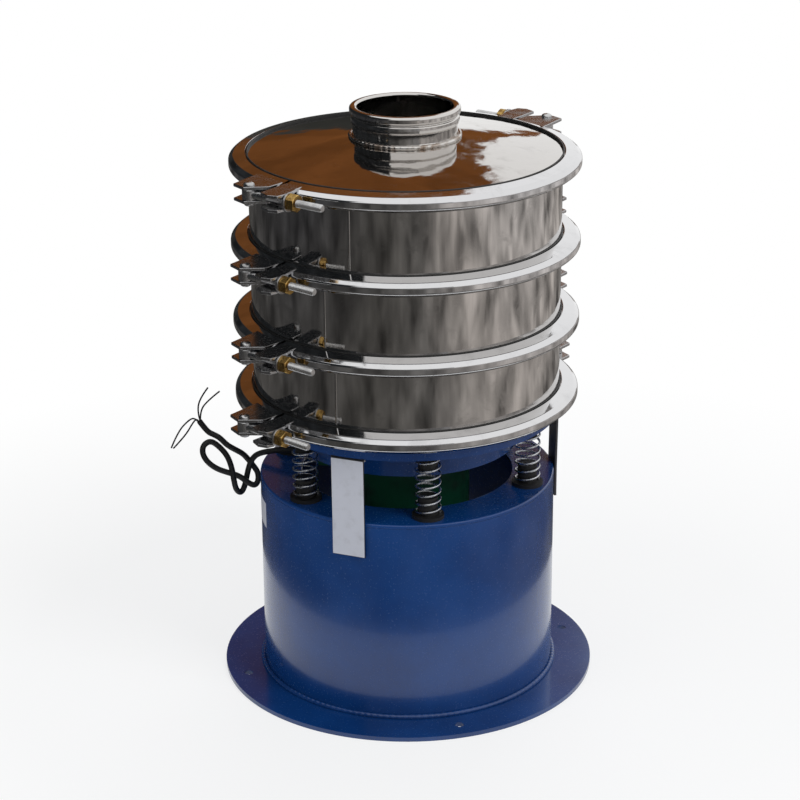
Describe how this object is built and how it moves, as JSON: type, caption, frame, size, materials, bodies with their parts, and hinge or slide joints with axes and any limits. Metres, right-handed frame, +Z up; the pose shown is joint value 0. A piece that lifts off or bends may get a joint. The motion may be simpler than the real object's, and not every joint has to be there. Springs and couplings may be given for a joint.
{
  "type": "vibrating sieve",
  "caption": "Round multi-deck vibrating sieve with clamped polished frames, a central feed collar and a sprung motor base.",
  "frame": {"origin": "on the floor, at the centre of the base flange's underside", "axes": "+Z up through the feed collar, -Y the front side with the hand closures at the left"},
  "size_m": [0.58, 0.5575, 0.7902],
  "materials": {
    "blue_paint": "deep blue gloss enamel",
    "polished_steel": "mirror polished stainless steel",
    "brushed_steel": "satin stainless steel",
    "zinc_steel": "bright zinc plate",
    "brass": "machined, slightly tarnished",
    "motor_green": "dark green enamel",
    "cast_iron": "dull grey iron",
    "black_rubber": "matt black",
    "copper_winding": "varnished winding and laminations",
    "label_white": "dark steel strip faced with a bare white label",
    "black_plastic": "black polymer"
  },
  "bodies": {
    "base": {"base_flange": "blue_paint", "base_drum": "blue_paint", "base_top_plate": "blue_paint", "lower_spring_seats": "black_rubber", "springs": "zinc_steel", "motor_cable": "black_rubber", "cable_bundle": "black_rubber", "cable_end": "black_rubber", "cable_cores": "black_rubber"},
    "vibrator": {"upper_spring_seats": "black_rubber", "chassis_pan": "blue_paint", "chassis_skirt": "blue_paint", "transport_straps": "label_white", "strap_bolts": "zinc_steel", "lower_frame": "polished_steel", "middle_frame": "polished_steel", "upper_frame": "polished_steel", "lower_spout": "polished_steel", "middle_spout": "polished_steel", "upper_spout": "polished_steel", "bottom_dome": "brushed_steel", "lid": "polished_steel", "feed_collar": "polished_steel", "gaskets": "black_rubber", "deck_rings": "brushed_steel", "screen_meshes": "brushed_steel", "clamp_ring_1": "polished_steel", "clamp_ring_2": "polished_steel", "clamp_ring_3": "polished_steel", "clamp_ring_4": "polished_steel", "closure_pins": "brushed_steel", "motor_housing": "motor_green", "motor_upper_cover": "motor_green", "motor_lower_cover": "motor_green", "motor_bearings": "brushed_steel", "motor_stator": "copper_winding", "motor_bolts": "zinc_steel", "terminal_box": "motor_green", "terminal_box_lid": "motor_green", "cable_gland": "black_plastic"},
    "rotor": {"motor_shaft": "brushed_steel", "motor_rotor_core": "copper_winding", "upper_weight": "cast_iron"},
    "lead_weight": {"lower_weight": "cast_iron"},
    "bolt_1_front": {"swing_bolt_1_front": "brushed_steel"},
    "nut_1_front": {"clamp_nut_1_front": "brass"},
    "bolt_1_rear": {"swing_bolt_1_rear": "brushed_steel"},
    "nut_1_rear": {"clamp_nut_1_rear": "brass"},
    "bolt_2_front": {"swing_bolt_2_front": "brushed_steel"},
    "nut_2_front": {"clamp_nut_2_front": "brass"},
    "bolt_2_rear": {"swing_bolt_2_rear": "brushed_steel"},
    "nut_2_rear": {"clamp_nut_2_rear": "brass"},
    "bolt_3_front": {"swing_bolt_3_front": "brushed_steel"},
    "nut_3_front": {"clamp_nut_3_front": "brass"},
    "bolt_3_rear": {"swing_bolt_3_rear": "brushed_steel"},
    "nut_3_rear": {"clamp_nut_3_rear": "brass"},
    "bolt_4_front": {"swing_bolt_4_front": "brushed_steel"},
    "nut_4_front": {"clamp_nut_4_front": "brass"},
    "bolt_4_rear": {"swing_bolt_4_rear": "brushed_steel"},
    "nut_4_rear": {"clamp_nut_4_rear": "brass"}
  },
  "joints": [
    {"name": "suspension", "type": "slide", "parent": "base", "child": "vibrator", "axis": [0, 0, 1], "range_m": [-0.003, 0.003], "stiffness_N_per_m": 21000, "springref_m": 0.03083, "deforming": ["springs"]},
    {"name": "motor_shaft_turn", "type": "hinge", "parent": "vibrator", "child": "rotor", "pos_m": [0, 0, 0.3], "axis": [0, 0, 1], "continuous": true},
    {"name": "lead_angle", "type": "hinge", "parent": "rotor", "child": "lead_weight", "pos_m": [0, 0, 0.21], "axis": [0, 0, 1], "range_deg": [0, 90]},
    {"name": "swing_1_front", "type": "hinge", "parent": "vibrator", "child": "bolt_1_front", "pos_m": [-0.19328, -0.16735, 0.7195], "axis": [0, 0, -1], "range_deg": [0, 100]},
    {"name": "slacken_1_front", "type": "slide", "parent": "bolt_1_front", "child": "nut_1_front", "axis": [0.809, -0.5878, 0], "range_m": [0, 0.018]},
    {"name": "swing_1_rear", "type": "hinge", "parent": "vibrator", "child": "bolt_1_rear", "pos_m": [0.19328, 0.16735, 0.7195], "axis": [0, 0, -1], "range_deg": [0, 100]},
    {"name": "slacken_1_rear", "type": "slide", "parent": "bolt_1_rear", "child": "nut_1_rear", "axis": [-0.809, 0.5878, 0], "range_m": [0, 0.018]},
    {"name": "swing_2_front", "type": "hinge", "parent": "vibrator", "child": "bolt_2_front", "pos_m": [-0.20178, -0.15701, 0.6115], "axis": [0, 0, -1], "range_deg": [0, 100]},
    {"name": "slacken_2_front", "type": "slide", "parent": "bolt_2_front", "child": "nut_2_front", "axis": [0.7771, -0.6293, 0], "range_m": [0, 0.018]},
    {"name": "swing_2_rear", "type": "hinge", "parent": "vibrator", "child": "bolt_2_rear", "pos_m": [0.20178, 0.15701, 0.6115], "axis": [0, 0, -1], "range_deg": [0, 100]},
    {"name": "slacken_2_rear", "type": "slide", "parent": "bolt_2_rear", "child": "nut_2_rear", "axis": [-0.7771, 0.6293, 0], "range_m": [0, 0.018]},
    {"name": "swing_3_front", "type": "hinge", "parent": "vibrator", "child": "bolt_3_front", "pos_m": [-0.20449, -0.15346, 0.5055], "axis": [0, 0, -1], "range_deg": [0, 100]},
    {"name": "slacken_3_front", "type": "slide", "parent": "bolt_3_front", "child": "nut_3_front", "axis": [0.766, -0.6428, 0], "range_m": [0, 0.018]},
    {"name": "swing_3_rear", "type": "hinge", "parent": "vibrator", "child": "bolt_3_rear", "pos_m": [0.20449, 0.15346, 0.5055], "axis": [0, 0, -1], "range_deg": [0, 100]},
    {"name": "slacken_3_rear", "type": "slide", "parent": "bolt_3_rear", "child": "nut_3_rear", "axis": [-0.766, 0.6428, 0], "range_m": [0, 0.018]},
    {"name": "swing_4_front", "type": "hinge", "parent": "vibrator", "child": "bolt_4_front", "pos_m": [-0.20972, -0.14623, 0.4035], "axis": [0, 0, -1], "range_deg": [0, 100]},
    {"name": "slacken_4_front", "type": "slide", "parent": "bolt_4_front", "child": "nut_4_front", "axis": [0.7431, -0.6691, 0], "range_m": [0, 0.018]},
    {"name": "swing_4_rear", "type": "hinge", "parent": "vibrator", "child": "bolt_4_rear", "pos_m": [0.20972, 0.14623, 0.4035], "axis": [0, 0, -1], "range_deg": [0, 100]},
    {"name": "slacken_4_rear", "type": "slide", "parent": "bolt_4_rear", "child": "nut_4_rear", "axis": [-0.7431, 0.6691, 0], "range_m": [0, 0.018]}
  ]
}
